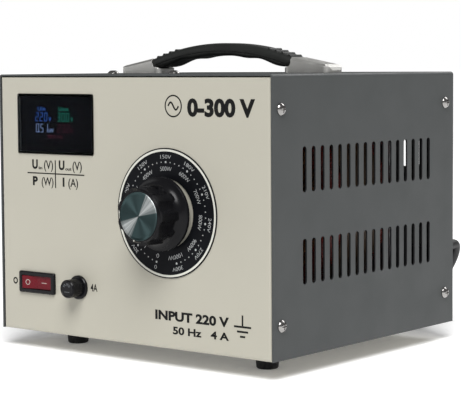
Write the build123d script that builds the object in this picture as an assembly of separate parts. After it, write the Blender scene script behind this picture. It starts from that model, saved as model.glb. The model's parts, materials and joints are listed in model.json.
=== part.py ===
from build123d import *
import math
import os

# Variable autotransformer in a sheet-metal case. Millimetres, +Z up, the front panel faces -Y.
# The origin lies on the ground under the middle of the instrument, mains lead left aside.

# Case
CASE_WIDTH = 232.0
CASE_DEPTH = 204.0
CASE_HEIGHT = 172.0
SHEET = 1.2
SHADOW_GAP = 0.5
COVER_BEND = 2.2
PANEL_BEND = 1.6
FRONT_FLANGE = 22.0
REAR_FLANGE = 18.0

# Feet, front pair wider apart than the rear pair
FOOT_HEIGHT = 12.3
FOOT_TOP_RADIUS = 8.1
FOOT_TIP_RADIUS = 6.9
FRONT_FOOT_X = 82.0
REAR_FOOT_X = 60.0
FOOT_Y = 63.9

# How far the knob stands out in front, and the socket flange behind
KNOB_REACH = 26.8
SOCKET_REACH = 3.4

# Places on the front panel: X from the middle, height above the underside of the case
DIAL_X, DIAL_HEIGHT = 32.7, 85.4
DISPLAY_X, DISPLAY_HEIGHT = -63.7, 139.3
SWITCH_X, SWITCH_HEIGHT = -81.7, 33.1
FUSE_X, FUSE_HEIGHT = -43.8, 32.9

# Places on the rear panel
SOCKET_X, SOCKET_HEIGHT = -50.0, 62.0
LEAD_X, LEAD_HEIGHT = 90.0, 45.0

# Vents: two rows in each side of the cover, one row in the rear panel
VENT_COUNT = 16
VENT_PITCH = 9.35
VENT_WIDTH = 4.1
VENT_LENGTH = 28.0
VENT_HEIGHTS = (57.7, 114.0)
REAR_VENT_COUNT = 8
REAR_VENT_PITCH = 10.2
REAR_VENT_LAST_X = 87.4
REAR_VENT_HEIGHT = 120.0

# Cover screws: distances from the front and rear edges, heights above the underside
SIDE_SCREW_FRONT_INSET = 8.2
SIDE_SCREW_REAR_INSET = 10.8
SIDE_SCREW_HEIGHTS = (21.0, 151.0)
TOP_SCREW_X = 26.0
TOP_SCREW_INSET = 16.0
M4_SHANK = 1.95
M4_HOLE = 2.05

# Handle, heights above the cover
HANDLE_HALF = 90.4
HANDLE_WIDTH = 19.0
GRIP_HALF = 60.0
GRIP_PEAK = 20.2
GRIP_END_TOP = 10.3
GRIP_CROWN = 4.5
RIB_PLACES = (40.5, 46.0, 51.5, 57.0)
RIB_RADIUS = 1.3
GROOVE_DROP = 5.6
STRAP_HALF = 66.0
STRAP_THICKNESS = 2.0
STRAP_WIDTH = 13.0
STRAP_DROP = 5.4
HANDLE_BOLTS = ((62.6, 7.2), (80.0, 4.4))

# Display window
LENS_WIDTH, LENS_HEIGHT = 69.4, 39.9
FRAME_WIDTH, FRAME_HEIGHT = 72.0, 42.8

# Dial and knob, distances in front of the panel
DIAL_RADIUS = 40.8
DIAL_HOLE = 22.0
DIAL_THICKNESS = 0.6
SKIRT_RADIUS = 23.4
GRIP_RADIUS = 18.4
LOBES = 9
FLUTE_RADIUS = 6.0
FLUTE_DEPTH = 1.9
CAP_RADIUS = 15.1
POINTER_ANGLE = 255.0
SHAFT_RADIUS = 4.0
RUNNING_GAP = 0.05
KNOB_SCREW_REACH = 15.5
ARM_SCREW_DEPTH = 53.0

# Transformer, distances behind the face of the panel
WINDING_FRONT, WINDING_BACK = 80.0, 152.0
WINDING_OUTER, WINDING_INNER = 69.0, 29.0
CORE_OUTER, CORE_INNER = 61.0, 37.0
CORE_WALL = 7.0
INSULATION = 1.5
FIT = 0.1
BRACKET_THICKNESS = 3.0
BRUSH_RADIUS = 51.0
STOP_RADIUS = 24.0

# Power switch and fuse
BEZEL_WIDTH, BEZEL_HEIGHT = 33.0, 14.3
ROCKER_ARC = 13.4
ROCKER_HALF_HEIGHT = 4.25
ROCKER_PIVOT_DEPTH = 2.0
ROCKER_TILT = 5.0
FUSE_BARREL = 6.1

# Mains socket in the rear panel
RECESS_RADIUS = 19.8
RECESS_DEPTH = 17.0
PIN_SPACING = 19.0
PIN_HOLE = 2.45

# Mains lead
LEAD_DIAMETER = 7.2
BOOT_LENGTH = 24.0
COIL_RADIUS = 41.0
COIL_BAND = 24.0
COIL_BOTTOM = 1.0
COIL_HEIGHT = 15.0
COIL_X, COIL_BEHIND = -14.0, 66.0
PLUG_BACK = -64.0
PLUG_HEIGHT = 19.3
TIE_WIDTH = 9.0

UPWARD = (Align.CENTER, Align.CENTER, Align.MIN)

FRONT_Y = (KNOB_REACH - CASE_DEPTH - SOCKET_REACH) / 2
REAR_Y = FRONT_Y + CASE_DEPTH
MIDDLE_Y = (FRONT_Y + REAR_Y) / 2
UNDERSIDE = FOOT_HEIGHT
TOP_Z = UNDERSIDE + CASE_HEIGHT
PANEL_HALF = CASE_WIDTH / 2 - SHEET - SHADOW_GAP
PANEL_TOP = CASE_HEIGHT - SHEET - SHADOW_GAP

# Working planes. Local X runs to the right and local Y upwards for someone facing the panel, and
# local Z points out of the case. Heights are measured from the underside of the case.
FRONT = Plane(origin=(0, FRONT_Y, UNDERSIDE), x_dir=(1, 0, 0), z_dir=(0, -1, 0))
REAR = Plane(origin=(0, REAR_Y, UNDERSIDE), x_dir=(-1, 0, 0), z_dir=(0, 1, 0))
RIGHT = Plane(origin=(CASE_WIDTH / 2, MIDDLE_Y, UNDERSIDE), x_dir=(0, 1, 0), z_dir=(1, 0, 0))
LEFT = Plane(origin=(-CASE_WIDTH / 2, MIDDLE_Y, UNDERSIDE), x_dir=(0, -1, 0), z_dir=(-1, 0, 0))
ABOVE = Plane(origin=(0, MIDDLE_Y, TOP_Z), x_dir=(1, 0, 0), z_dir=(0, 0, 1))
DIAL = FRONT * Pos(DIAL_X, DIAL_HEIGHT, 0)


# ---- Shapes used again and again ----

def rod(radius, start, end, x=0.0, y=0.0):
    """A round bar along local Z."""
    return Pos(x, y, start) * Cylinder(radius, end - start, align=UPWARD)


def ring(outer, inner, start, end, x=0.0, y=0.0):
    """A round tube along local Z."""
    return rod(outer, start, end, x, y) - rod(inner, start, end, x, y)


def block(width, height, start, end, x=0.0, y=0.0):
    """A square-cornered block along local Z."""
    return Pos(x, y, start) * Box(width, height, end - start, align=UPWARD)


def slab(width, height, corner, start, end, x=0.0, y=0.0):
    """A block along local Z with rounded corners."""
    return Pos(x, y, start) * extrude(RectangleRounded(width, height, corner), end - start)


def spin(*points):
    """A turned piece about local Z from (radius, height) points."""
    return revolve(Plane.XZ * make_face(Polyline(*points, close=True)), Axis.Z)


def hex_nut(across_flats, hole, start, end, x=0.0, y=0.0):
    """A hexagon nut along local Z."""
    corner_radius = across_flats / math.sqrt(3)
    body = Pos(x, y, start) * extrude(RegularPolygon(corner_radius, 6), end - start)
    return body - rod(hole, start, end, x, y)


def group(shapes):
    """Several separate solids of one kind, kept together."""
    return Compound(children=[solid for shape in shapes for solid in shape.solids()])


def pan_screw(head_radius, head_height, shank_radius, shank_length):
    """A pan-head screw with a cross recess, its head seated on local Z = 0."""
    rim = 0.25 * head_height
    outline = [
        Line((0, 0), (head_radius, 0)),
        Line((head_radius, 0), (head_radius, rim)),
        ThreePointArc((head_radius, rim), (0.66 * head_radius, 0.84 * head_height), (0, head_height)),
        Line((0, head_height), (0, 0)),
    ]
    head = revolve(Plane.XZ * make_face(outline), Axis.Z)
    arm = 1.1 * head_radius
    slot = 0.24 * head_radius
    depth = 0.5 * head_height
    cross = block(arm, slot, depth, head_height + 1) + block(slot, arm, depth, head_height + 1)
    return head - cross + rod(shank_radius, -shank_length, 0)


# ---- Case ----

def side_screw_places():
    """Plane and local (x, y) of each of the eight cover screws."""
    ahead = CASE_DEPTH / 2 - SIDE_SCREW_FRONT_INSET
    behind = CASE_DEPTH / 2 - SIDE_SCREW_REAR_INSET
    right = [(RIGHT, x, y) for x in (-ahead, behind) for y in SIDE_SCREW_HEIGHTS]
    left = [(LEFT, x, y) for x in (ahead, -behind) for y in SIDE_SCREW_HEIGHTS]
    return right + left


def side_screw_holes():
    """Clearance bars through the cover and the flanges behind it."""
    return [side * rod(M4_HOLE, -5, 1, x, y) for side, x, y in side_screw_places()]


def top_screw_places():
    """Local (x, y) of the two screws in the top of the cover."""
    y = -CASE_DEPTH / 2 + TOP_SCREW_INSET
    return [(-TOP_SCREW_X, y), (TOP_SCREW_X, y)]


def foot_places():
    """X and Y of the feet."""
    front = [(side * FRONT_FOOT_X, MIDDLE_Y - FOOT_Y) for side in (-1, 1)]
    rear = [(side * REAR_FOOT_X, MIDDLE_Y + FOOT_Y) for side in (-1, 1)]
    return front + rear


def bracket_bolt_places():
    """X and Y of the four bolts that hold the transformer bracket to the base."""
    front_of_plate = FRONT_Y + WINDING_BACK + 4
    return [(DIAL_X + dx, front_of_plate - dy) for dx in (-40, 40) for dy in (10, 26)]


def panel_tray(bottom, flange):
    """A panel with a rounded edge all round and flanges turned into the case."""
    height = PANEL_TOP - bottom
    outer = block(2 * PANEL_HALF, height, -flange, 0, y=bottom + height / 2)
    outer = fillet(outer.faces().sort_by(Axis.Z)[-1].edges(), PANEL_BEND)
    hollow_width = 2 * (PANEL_HALF - SHEET)
    hollow = block(hollow_width, height - 2 * SHEET, -flange - 1, -SHEET, y=bottom + height / 2)
    return outer - hollow


def make_chassis():
    """Front panel and base, bent from one sheet."""
    panel = panel_tray(0, FRONT_FLANGE)
    panel -= slab(LENS_WIDTH - 3, LENS_HEIGHT - 3, 1.2, -2, 1, DISPLAY_X, DISPLAY_HEIGHT)
    panel -= rod(6, -2, 1, DIAL_X, DIAL_HEIGHT)
    panel -= slab(BEZEL_WIDTH - 3.1, BEZEL_HEIGHT - 2.3, 0.8, -2, 1, SWITCH_X, SWITCH_HEIGHT)
    panel -= rod(FUSE_BARREL + 0.15, -2, 1, FUSE_X, FUSE_HEIGHT)
    chassis = FRONT * panel
    base_length = CASE_DEPTH - PANEL_BEND
    base_middle = FRONT_Y + PANEL_BEND + base_length / 2
    base = Pos(0, base_middle, UNDERSIDE) * Box(2 * PANEL_HALF, base_length, SHEET, align=UPWARD)
    lip_length = CASE_DEPTH - FRONT_FLANGE - REAR_FLANGE - 2
    lip_middle = FRONT_Y + FRONT_FLANGE + lip_length / 2
    for side in (-1, 1):
        lip_x = side * (PANEL_HALF - SHEET / 2)
        base += Pos(lip_x, lip_middle, UNDERSIDE) * Box(SHEET, lip_length, 14, align=UPWARD)
    chassis += base
    chassis -= [ABOVE * rod(M4_HOLE, -5, 1, x, y) for x, y in top_screw_places()]
    chassis -= side_screw_holes()
    for x, y in foot_places() + bracket_bolt_places():
        chassis -= rod(M4_HOLE, UNDERSIDE - 1, UNDERSIDE + 2, x, y)
    chassis -= rear_base_screws(M4_HOLE - 0.5)
    return chassis


def rear_base_screws(radius):
    """Bars for the three screws that hold the rear panel to the base."""
    y = REAR_Y - REAR_FLANGE / 2
    return [rod(radius, UNDERSIDE - 1, UNDERSIDE + 4, x, y) for x in (-85, 0, 85)]


def make_rear_panel():
    """Rear panel, standing on the base."""
    panel = panel_tray(SHEET, REAR_FLANGE)
    socket_x = -SOCKET_X
    panel -= rod(RECESS_RADIUS + 2.4, -2, 1, socket_x, SOCKET_HEIGHT)
    for dx, dy in socket_screw_offsets():
        panel -= rod(1.7, -2, 1, socket_x + dx, SOCKET_HEIGHT + dy)
    panel -= rod(6.5, -2, 1, -LEAD_X, LEAD_HEIGHT)
    vent = extrude(SlotOverall(VENT_LENGTH, VENT_WIDTH, rotation=90), 4)
    for index in range(REAR_VENT_COUNT):
        x = index * REAR_VENT_PITCH - REAR_VENT_LAST_X
        panel -= Pos(x, REAR_VENT_HEIGHT, -3) * vent
    rear = REAR * panel
    rear -= side_screw_holes()
    rear -= rear_base_screws(M4_HOLE - 0.5)
    return rear


def make_rear_panel_screws():
    """Three screws up through the base into the rear panel."""
    places = [(x, REAR_Y - REAR_FLANGE / 2) for x in (-85, 0, 85)]
    screw = Rot(180, 0, 0) * pan_screw(2.9, 1.9, 1.45, 5)
    return group([Pos(x, y, UNDERSIDE) * screw for x, y in places])


def make_top_cover():
    """Top and sides, bent from one sheet, with the vents."""
    middle = Pos(0, MIDDLE_Y, UNDERSIDE)
    outer = middle * Box(CASE_WIDTH, CASE_DEPTH, CASE_HEIGHT, align=UPWARD)
    outer = fillet(outer.edges().filter_by(Axis.Y).group_by(Axis.Z)[-1], COVER_BEND)
    width = CASE_WIDTH - 2 * SHEET
    inner = middle * Box(width, CASE_DEPTH + 2, CASE_HEIGHT - SHEET, align=UPWARD)
    inner = fillet(inner.edges().filter_by(Axis.Y).group_by(Axis.Z)[-1], COVER_BEND - SHEET)
    cover = outer - inner
    vent = extrude(SlotOverall(VENT_LENGTH, VENT_WIDTH, rotation=90), 4)
    vents = []
    for side in (RIGHT, LEFT):
        for height in VENT_HEIGHTS:
            for index in range(VENT_COUNT):
                along = (index - (VENT_COUNT - 1) / 2) * VENT_PITCH
                vents.append(side * Pos(along, height, -3) * vent)
    cover -= vents
    cover -= side_screw_holes()
    cover -= [ABOVE * rod(M4_HOLE, -5, 1, x, y) for x, y in top_screw_places()]
    cover -= [ABOVE * rod(2.75, -5, 1, x, 0) for x, _ in handle_bolt_places()]
    return cover


def make_cover_screws():
    """Four screws in each side of the cover and two in its top."""
    screw = pan_screw(3.8, 2.3, M4_SHANK, 6)
    sides = [side * Pos(x, y, 0) * screw for side, x, y in side_screw_places()]
    return group(sides + [ABOVE * Pos(x, y, 0) * screw for x, y in top_screw_places()])


def make_feet():
    """Four tapered rubber feet with a well for the screw."""
    foot = spin((0, 0), (FOOT_TIP_RADIUS, 0), (FOOT_TOP_RADIUS, FOOT_HEIGHT), (0, FOOT_HEIGHT))
    foot = fillet(foot.edges().group_by(Axis.Z)[0], 1.4)
    foot -= rod(3.8, -1, 6.3)
    foot -= rod(M4_HOLE, 0, FOOT_HEIGHT + 1)
    return group([Pos(x, y, 0) * foot for x, y in foot_places()])


def make_foot_screws():
    """Screws that hold the feet, heads up inside the wells."""
    screw = Rot(180, 0, 0) * pan_screw(3.4, 2.2, M4_SHANK, 12.5)
    return group([Pos(x, y, 6.3) * screw for x, y in foot_places()])


def make_base_nuts():
    """Nuts of the foot screws, on the base, and of the bracket bolts, on the bracket."""
    seat = UNDERSIDE + SHEET
    nuts = [hex_nut(7, M4_HOLE, seat, seat + 3.2, x, y) for x, y in foot_places()]
    seat += BRACKET_THICKNESS
    nuts += [hex_nut(7, M4_HOLE, seat, seat + 3.2, x, y) for x, y in bracket_bolt_places()]
    return group(nuts)


# ---- Handle ----

def handle_bolt_places():
    """X and the height of the tip of each handle bolt."""
    return [(side * x, tip) for side in (-1, 1) for x, tip in HANDLE_BOLTS]


ARCH_RISE = GRIP_PEAK - GRIP_END_TOP
ARCH_RADIUS = (GRIP_HALF**2 + ARCH_RISE**2) / (2 * ARCH_RISE)
ARCH_CENTRE = GRIP_PEAK - ARCH_RADIUS


def arched_band(drop, thickness, half_length, half_width):
    """A band that follows the arch of the grip, its middle a set drop under the top."""
    radius = ARCH_RADIUS - drop
    band = Pos(0, ARCH_CENTRE) * (Circle(radius + thickness / 2) - Circle(radius - thickness / 2))
    window = Pos(0, GRIP_PEAK / 2 + 1) * Rectangle(2 * half_length, GRIP_PEAK + 2)
    return extrude(Plane.XZ * (band & window), half_width, both=True)


def strap_band(half_length, allowance):
    """The arched steel strap, or the channel that it lies in."""
    thickness = STRAP_THICKNESS + 2 * allowance
    return arched_band(STRAP_DROP, thickness, half_length, STRAP_WIDTH / 2 + allowance)


def make_handle_strap():
    """Spring-steel strap inside the grip, with a hole at each end."""
    strap = strap_band(STRAP_HALF, 0)
    inner_bolt = HANDLE_BOLTS[0][0]
    for side in (-1, 1):
        strap -= rod(2.8, 0, 12, side * inner_bolt)
    return ABOVE * strap


def grip_crown():
    """A wheel with rounded shoulders, as wide as the grip, whose rim is the top of the grip."""
    depth = 30
    section = Pos(0, ARCH_CENTRE + ARCH_RADIUS - depth / 2) * Rectangle(HANDLE_WIDTH, depth)
    section = fillet(section.vertices().group_by(Axis.Y)[-1], GRIP_CROWN)
    return revolve(Plane.YZ * section, Axis((0, 0, ARCH_CENTRE), (0, 1, 0)))


def grip_rib(x):
    """A half-round rib across the top of the grip."""
    turn = math.degrees(math.asin(x / ARCH_RADIUS))
    seat = ARCH_RADIUS - 0.6
    across = Rot(90, 0, 0) * rod(RIB_RADIUS, -6.5, 6.5)
    return Pos(0, 0, ARCH_CENTRE) * Rot(0, turn, 0) * Pos(0, 0, seat) * across


def make_handle_grip():
    """Black moulded grip, ribbed at both ends, with three finger hollows beneath."""
    outer_under = [(56.0, 4.1), (51.5, 4.3), (46.0, 5.4), (39.0, 7.9), (33.0, 9.5), (28.0, 9.8)]
    inner_under = [(23.0, 9.9), (17.5, 10.7), (11.0, 11.5), (0.0, 11.7)]
    under = outer_under + inner_under
    under += [(-x, height) for x, height in reversed(under[:-1])]
    corner = 6.8
    above = GRIP_PEAK + 4
    outline = [
        Line((-GRIP_HALF, above), (GRIP_HALF, above)),
        Line((GRIP_HALF, above), (GRIP_HALF, corner)),
        ThreePointArc((GRIP_HALF, corner), (58.75, 4.9), (56.0, 4.1)),
        Spline(*under),
        ThreePointArc((-56.0, 4.1), (-58.75, 4.9), (-GRIP_HALF, corner)),
        Line((-GRIP_HALF, corner), (-GRIP_HALF, above)),
    ]
    grip = extrude(Plane.XZ * make_face(outline), HANDLE_WIDTH / 2, both=True)
    sides = grip.edges().group_by(Axis.Y)
    grip = fillet(sides[0] + sides[-1], 2.4) & grip_crown()
    grip += [grip_rib(side * x) for side in (-1, 1) for x in RIB_PLACES]
    grip -= strap_band(GRIP_HALF + 2, FIT)
    groove = arched_band(GROOVE_DROP, 0.8, GRIP_HALF - 4, HANDLE_WIDTH)
    grip -= groove - Box(120, HANDLE_WIDTH - 1, 60)
    return ABOVE * grip


def make_handle_end():
    """Right-hand metal end of the handle, sloping down to the cover."""
    face = GRIP_HALF + 0.2
    outline = Polyline(
        (53.0, 0),
        (53.5, 3.3),
        (56.2, 3.7),
        (59.1, 4.5),
        (face, 6.4),
        (face, GRIP_END_TOP - 0.1),
        (86.0, 5.5),
        (89.4, 4.0),
        (HANDLE_HALF, 1.6),
        (HANDLE_HALF, 0),
        close=True,
    )
    side_view = extrude(Plane.XZ * make_face(outline), HANDLE_WIDTH / 2, both=True)
    length = HANDLE_HALF - 53.0
    plan = Pos(53.0 + length / 2, 0, 0) * extrude(RectangleRounded(length, HANDLE_WIDTH, 5.5), 12)
    # A long bevelled bar along the slope takes the corners off its two long edges.
    fall = (GRIP_END_TOP - 0.1 - 5.5) / (86.0 - face)
    start = 50.0
    ridge = GRIP_END_TOP - 0.1 + fall * (face - start)
    half = HANDLE_WIDTH / 2
    bar = Polyline(
        (-half, -5), (half, -5), (half, ridge - 1.6), (half - 1.6, ridge),
        (1.6 - half, ridge), (-half, ridge - 1.6), close=True,
    )
    bevelled = extrude(Pos(start, 0, 0) * (Plane.YZ * make_face(bar)), 60, dir=(1, 0, -fall))
    end = side_view & plan & bevelled
    end -= strap_band(STRAP_HALF + 0.3, FIT)
    for x, tip in HANDLE_BOLTS:
        end -= rod(2.55, -1, tip + 0.2, x)
    return end


def make_handle_bolts():
    """Four bolts up through the cover into the handle ends."""
    bolts = []
    for x, tip in handle_bolt_places():
        head = extrude(RegularPolygon(4.6, 6), 3.5)
        bolts.append(ABOVE * (Pos(x, 0, -SHEET - 3.5) * head + rod(2.5, -SHEET, tip, x)))
    return group(bolts)


# ---- Display ----

def make_display_lens():
    """Smoked window, with a step that sits in the panel."""
    face = slab(LENS_WIDTH, LENS_HEIGHT, 1.6, 0, 0.9)
    face = chamfer(face.faces().sort_by(Axis.Z)[-1].edges(), 0.35)
    lens = face + slab(LENS_WIDTH - 3.4, LENS_HEIGHT - 3.4, 1.0, -1.6, 0)
    return FRONT * Pos(DISPLAY_X, DISPLAY_HEIGHT, 0) * lens


def make_display_frame():
    """Square tube behind the panel that holds the screen."""
    frame = slab(FRAME_WIDTH, FRAME_HEIGHT, 2, -10.2, -SHEET)
    frame -= slab(LENS_WIDTH - 2.8, LENS_HEIGHT - 2.8, 1, -11, 0)
    return FRONT * Pos(DISPLAY_X, DISPLAY_HEIGHT, 0) * frame


def make_display_screen():
    """Colour screen module."""
    screen = slab(LENS_WIDTH - 3.4, LENS_HEIGHT - 3.4, 0.8, -6, -2)
    return FRONT * Pos(DISPLAY_X, DISPLAY_HEIGHT, 0) * screen


def make_display_board():
    """Circuit board screwed to the back of the frame."""
    board = slab(FRAME_WIDTH, FRAME_HEIGHT, 2, -11.8, -10.2)
    return FRONT * Pos(DISPLAY_X, DISPLAY_HEIGHT, 0) * board


def make_board_components():
    """Relay, chip, current sensor and connector on the back of the board."""
    back = -11.8
    parts = [
        block(19, 15.5, back - 15, back, -20, 6),
        block(12, 8, back - 2.2, back, 4, -8),
        rod(7, back - 11, back, 20, 4),
        block(22, 5, back - 8, back, -18, -13),
    ]
    return FRONT * Pos(DISPLAY_X, DISPLAY_HEIGHT, 0) * group(parts)


# ---- Dial, knob and shaft ----

def make_dial_plate():
    """Printed ring on the panel round the knob."""
    return DIAL * ring(DIAL_RADIUS, DIAL_HOLE, 0, DIAL_THICKNESS)


def make_knob():
    """Lobed knob on a flared skirt, bored for the shaft."""
    lobed = Circle(GRIP_RADIUS)
    flute_centre = GRIP_RADIUS - FLUTE_DEPTH + FLUTE_RADIUS
    lobed -= PolarLocations(flute_centre, LOBES, 20) * Circle(FLUTE_RADIUS)
    lobed = fillet(lobed.vertices(), 1.1)
    grip = Pos(0, 0, 9) * extrude(lobed, 16.2)
    flare = [
        Line((0, 5.0), (SKIRT_RADIUS - 0.5, 5.0)),
        Line((SKIRT_RADIUS - 0.5, 5.0), (SKIRT_RADIUS, 5.6)),
        Line((SKIRT_RADIUS, 5.6), (SKIRT_RADIUS - 0.3, 7.2)),
        ThreePointArc((SKIRT_RADIUS - 0.3, 7.2), (19.4, 8.9), (17.2, 11.6)),
        Line((17.2, 11.6), (0, 11.6)),
        Line((0, 11.6), (0, 5.0)),
    ]
    skirt = revolve(Plane.XZ * make_face(flare), Axis.Z)
    crown = spin((0, 24), (16.2, 24), (16.6, 25.2), (15.9, 26.3), (CAP_RADIUS + 0.1, 26.3), (0, 26.3))
    knob = grip + skirt + crown
    knob -= rod(CAP_RADIUS + 0.05, 25.2, 27)
    knob -= ring(13.4, 8.4, 4, 20)
    knob -= ring(20.5, 13.0, 4, 6.4)
    knob -= rod(SHAFT_RADIUS + 0.02, 4, 22.2)
    screw_line = Rot(0, 0, POINTER_ANGLE + 180) * Pos(0, 0, KNOB_SCREW_REACH) * Rot(0, 90, 0)
    knob -= screw_line * rod(M4_HOLE, 3, 20)
    return DIAL * knob


def make_knob_cap():
    """Spun aluminium disc let into the face of the knob."""
    rim = CAP_RADIUS
    cap = spin((0, 25.2), (rim, 25.2), (rim, 26.5), (rim - 0.3, KNOB_REACH), (rim - 1.6, 26.55), (0, 26.4))
    return DIAL * cap


def grub_screw():
    """Grub screw along local Z with a hexagon socket, its tip on the shaft."""
    screw = rod(M4_SHANK, SHAFT_RADIUS + 0.03, 9.2)
    return screw - Pos(0, 0, 7) * extrude(RegularPolygon(1.15, 6), 3)


def make_grub_screws():
    """The screw that clamps the knob and the one that clamps the brush arm."""
    in_knob = Rot(0, 0, POINTER_ANGLE + 180) * Pos(0, 0, KNOB_SCREW_REACH) * Rot(0, 90, 0)
    in_arm = Rot(0, 0, POINTER_ANGLE + 180) * Pos(0, 0, -ARM_SCREW_DEPTH) * Rot(0, 90, 0)
    return DIAL * group([in_knob * grub_screw(), in_arm * grub_screw()])


def make_shaft():
    """Steel shaft from the knob through the transformer."""
    shaft = rod(SHAFT_RADIUS, -182, 22)
    shaft = chamfer(shaft.edges(), 0.5)
    return DIAL * shaft


# ---- Transformer ----

def make_winding():
    """Copper winding round the core, with a flat track for the brush on its front face."""
    section = Rectangle(WINDING_OUTER - WINDING_INNER, WINDING_BACK - WINDING_FRONT)
    section = fillet(section.vertices(), 9)
    inner = CORE_INNER - INSULATION - 2 * FIT
    outer = CORE_OUTER + INSULATION + 2 * FIT
    depth = WINDING_BACK - WINDING_FRONT - 2 * (CORE_WALL - INSULATION - 2 * FIT)
    section -= Pos((inner + outer - WINDING_OUTER - WINDING_INNER) / 2, 0) * Rectangle(outer - inner, depth)
    middle_radius = (WINDING_OUTER + WINDING_INNER) / 2
    middle_depth = -(WINDING_FRONT + WINDING_BACK) / 2
    return DIAL * revolve(Plane.XZ * Pos(middle_radius, middle_depth) * section, Axis.Z)


def make_core():
    """Ring core wound from steel strip."""
    front = -(WINDING_FRONT + CORE_WALL)
    back = -(WINDING_BACK - CORE_WALL)
    return DIAL * ring(CORE_OUTER, CORE_INNER, back, front)


def make_core_insulators():
    """Two insulating cups that keep the winding off the core."""
    middle = -(WINDING_FRONT + WINDING_BACK) / 2
    outside = -(WINDING_FRONT + CORE_WALL) + INSULATION + FIT
    inside = outside - INSULATION
    cup = ring(CORE_OUTER + INSULATION + FIT, CORE_INNER - INSULATION - FIT, middle + FIT, outside)
    cup -= ring(CORE_OUTER + FIT, CORE_INNER - FIT, middle, inside)
    return DIAL * group([cup, mirror(cup, Plane.XY.offset(middle))])


def make_winding_band():
    """Insulating band round the outside of the winding."""
    return DIAL * ring(WINDING_OUTER + 1.2, WINDING_OUTER + 0.05, -WINDING_BACK + 15, -WINDING_FRONT - 15)


def make_clamp_disc():
    """Insulating disc that clamps the winding from the front and carries the stop."""
    disc = ring(40, 9.1, -WINDING_FRONT + FIT, -75)
    disc -= Rot(0, 0, -90) * rod(2.5 + FIT, -85, -70, STOP_RADIUS)
    return DIAL * disc


def make_rear_washer():
    """Insulating washer between the winding and the bracket."""
    return DIAL * ring(40, 9.1, -WINDING_BACK - 4, -WINDING_BACK - FIT)


def make_hub_tube():
    """Flanged tube that draws the clamp parts together and holds the bushes."""
    back = -WINDING_BACK - 4 - BRACKET_THICKNESS
    return DIAL * (ring(9, 6.5, back, -67) + ring(16, 6.5, back - 4, back))


def make_hub_nut():
    """Thin nut on the front end of the hub tube."""
    return DIAL * hex_nut(27, 9.05, -75, -69)


def make_shaft_bushes():
    """Bronze flanged bushes, one in each end of the hub tube."""
    back = -WINDING_BACK - 8 - BRACKET_THICKNESS
    hole = SHAFT_RADIUS + RUNNING_GAP
    front = ring(6.45, hole, -81, -67) + ring(8.8, hole, -67, -65.5)
    rear = ring(6.45, hole, back, back + 14) + ring(8.8, hole, back - 1.5, back)
    return DIAL * group([front, rear])


def make_bracket():
    """Folded steel bracket that stands on the base and carries the transformer."""
    width = 126
    front = -WINDING_BACK - 4
    back = front - BRACKET_THICKNESS
    rise = DIAL_HEIGHT + 46 - SHEET
    plate = block(width, rise, back, front, DIAL_X, SHEET + rise / 2)
    plate = fillet(plate.edges().filter_by(Axis.Z).group_by(Axis.Y)[-1], 8)
    foot = block(width, BRACKET_THICKNESS, front, front + 34, DIAL_X, SHEET + BRACKET_THICKNESS / 2)
    bracket = plate + foot
    web = extrude(Plane.YZ * make_face(Polyline((0, 0), (28, 0), (0, 30), close=True)), 1.2, both=True)
    web_floor = SHEET + BRACKET_THICKNESS
    for side in (-1, 1):
        bracket += Pos(DIAL_X + side * (width / 2 - 1.2), web_floor, front) * web
    bracket -= rod(9.1, back - 1, front + 1, DIAL_X, DIAL_HEIGHT)
    bracket = FRONT * bracket
    seat = UNDERSIDE + SHEET
    for x, y in bracket_bolt_places():
        bracket -= rod(M4_HOLE, seat - 1, seat + BRACKET_THICKNESS + 1, x, y)
    return bracket


def make_bracket_bolts():
    """Four bolts up through the base and the foot of the bracket."""
    bolt = Rot(180, 0, 0) * pan_screw(3.9, 2.4, M4_SHANK, 9.5)
    return group([Pos(x, y, UNDERSIDE) * bolt for x, y in bracket_bolt_places()])


def make_stop_pin():
    """Pin that the brush arm meets at both ends of its turn."""
    return DIAL * Rot(0, 0, -90) * rod(2.5, -79.8, -54, STOP_RADIUS)


# The pieces below turn with the shaft. Each is drawn along local X and turned to the pointer.
ARM = DIAL * Rot(0, 0, POINTER_ANGLE)


def make_brush_arm():
    """Cast arm clamped on the shaft, with cooling fins over the brush."""
    arm = rod(9.5, -64.5, -50)
    arm += block(60, 7, -62, -56, 30)
    arm += block(22, 20, -60, -57, 50)
    for index in range(5):
        fin_x = 41 + index * 4.5
        arm += block(1.4, 20, -58, -47, fin_x)
    arm -= rod(SHAFT_RADIUS + 0.02, -70, -45)
    arm -= Pos(0, 0, -ARM_SCREW_DEPTH) * Rot(0, -90, 0) * rod(M4_HOLE, 3, 12)
    return ARM * arm


def make_brush_holder():
    """Brass box that guides the brush."""
    holder = block(11, 13, -74, -62, BRUSH_RADIUS)
    holder -= block(6.3, 8.3, -75, -62, BRUSH_RADIUS)
    return ARM * holder


def make_carbon_brush():
    """Carbon brush, its face just off the bared track of the winding."""
    return ARM * block(6, 8, -WINDING_FRONT + 0.15, -64, BRUSH_RADIUS)


def make_brush_spring():
    """Wave spring behind the brush."""
    return ARM * ring(2.7, 1.7, -63.9, -62.1, BRUSH_RADIUS)


def make_collector_ring():
    """Brass ring that carries the brush current at the rear end of the shaft."""
    return DIAL * ring(12, SHAFT_RADIUS + 0.02, -178, -171)


def make_finger_block():
    """Insulating block on the back of the bracket."""
    back = -WINDING_BACK - 4 - BRACKET_THICKNESS
    return DIAL * block(14, 12, back - 12, back, 0, 30)


def make_collector_finger():
    """Springy bronze finger from the block to the collector ring."""
    back = -WINDING_BACK - 4 - BRACKET_THICKNESS
    thickness = 0.6
    reach = 12.3
    finger = block(6, thickness, -180, back - 1, 0, 36.1 + thickness / 2)
    finger += block(6, 36.1 - reach, -180, -180 + thickness, 0, (36.1 + reach) / 2)
    finger += block(6, thickness, -180, -173, 0, reach + thickness / 2)
    return DIAL * finger


# ---- Power switch ----

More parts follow.
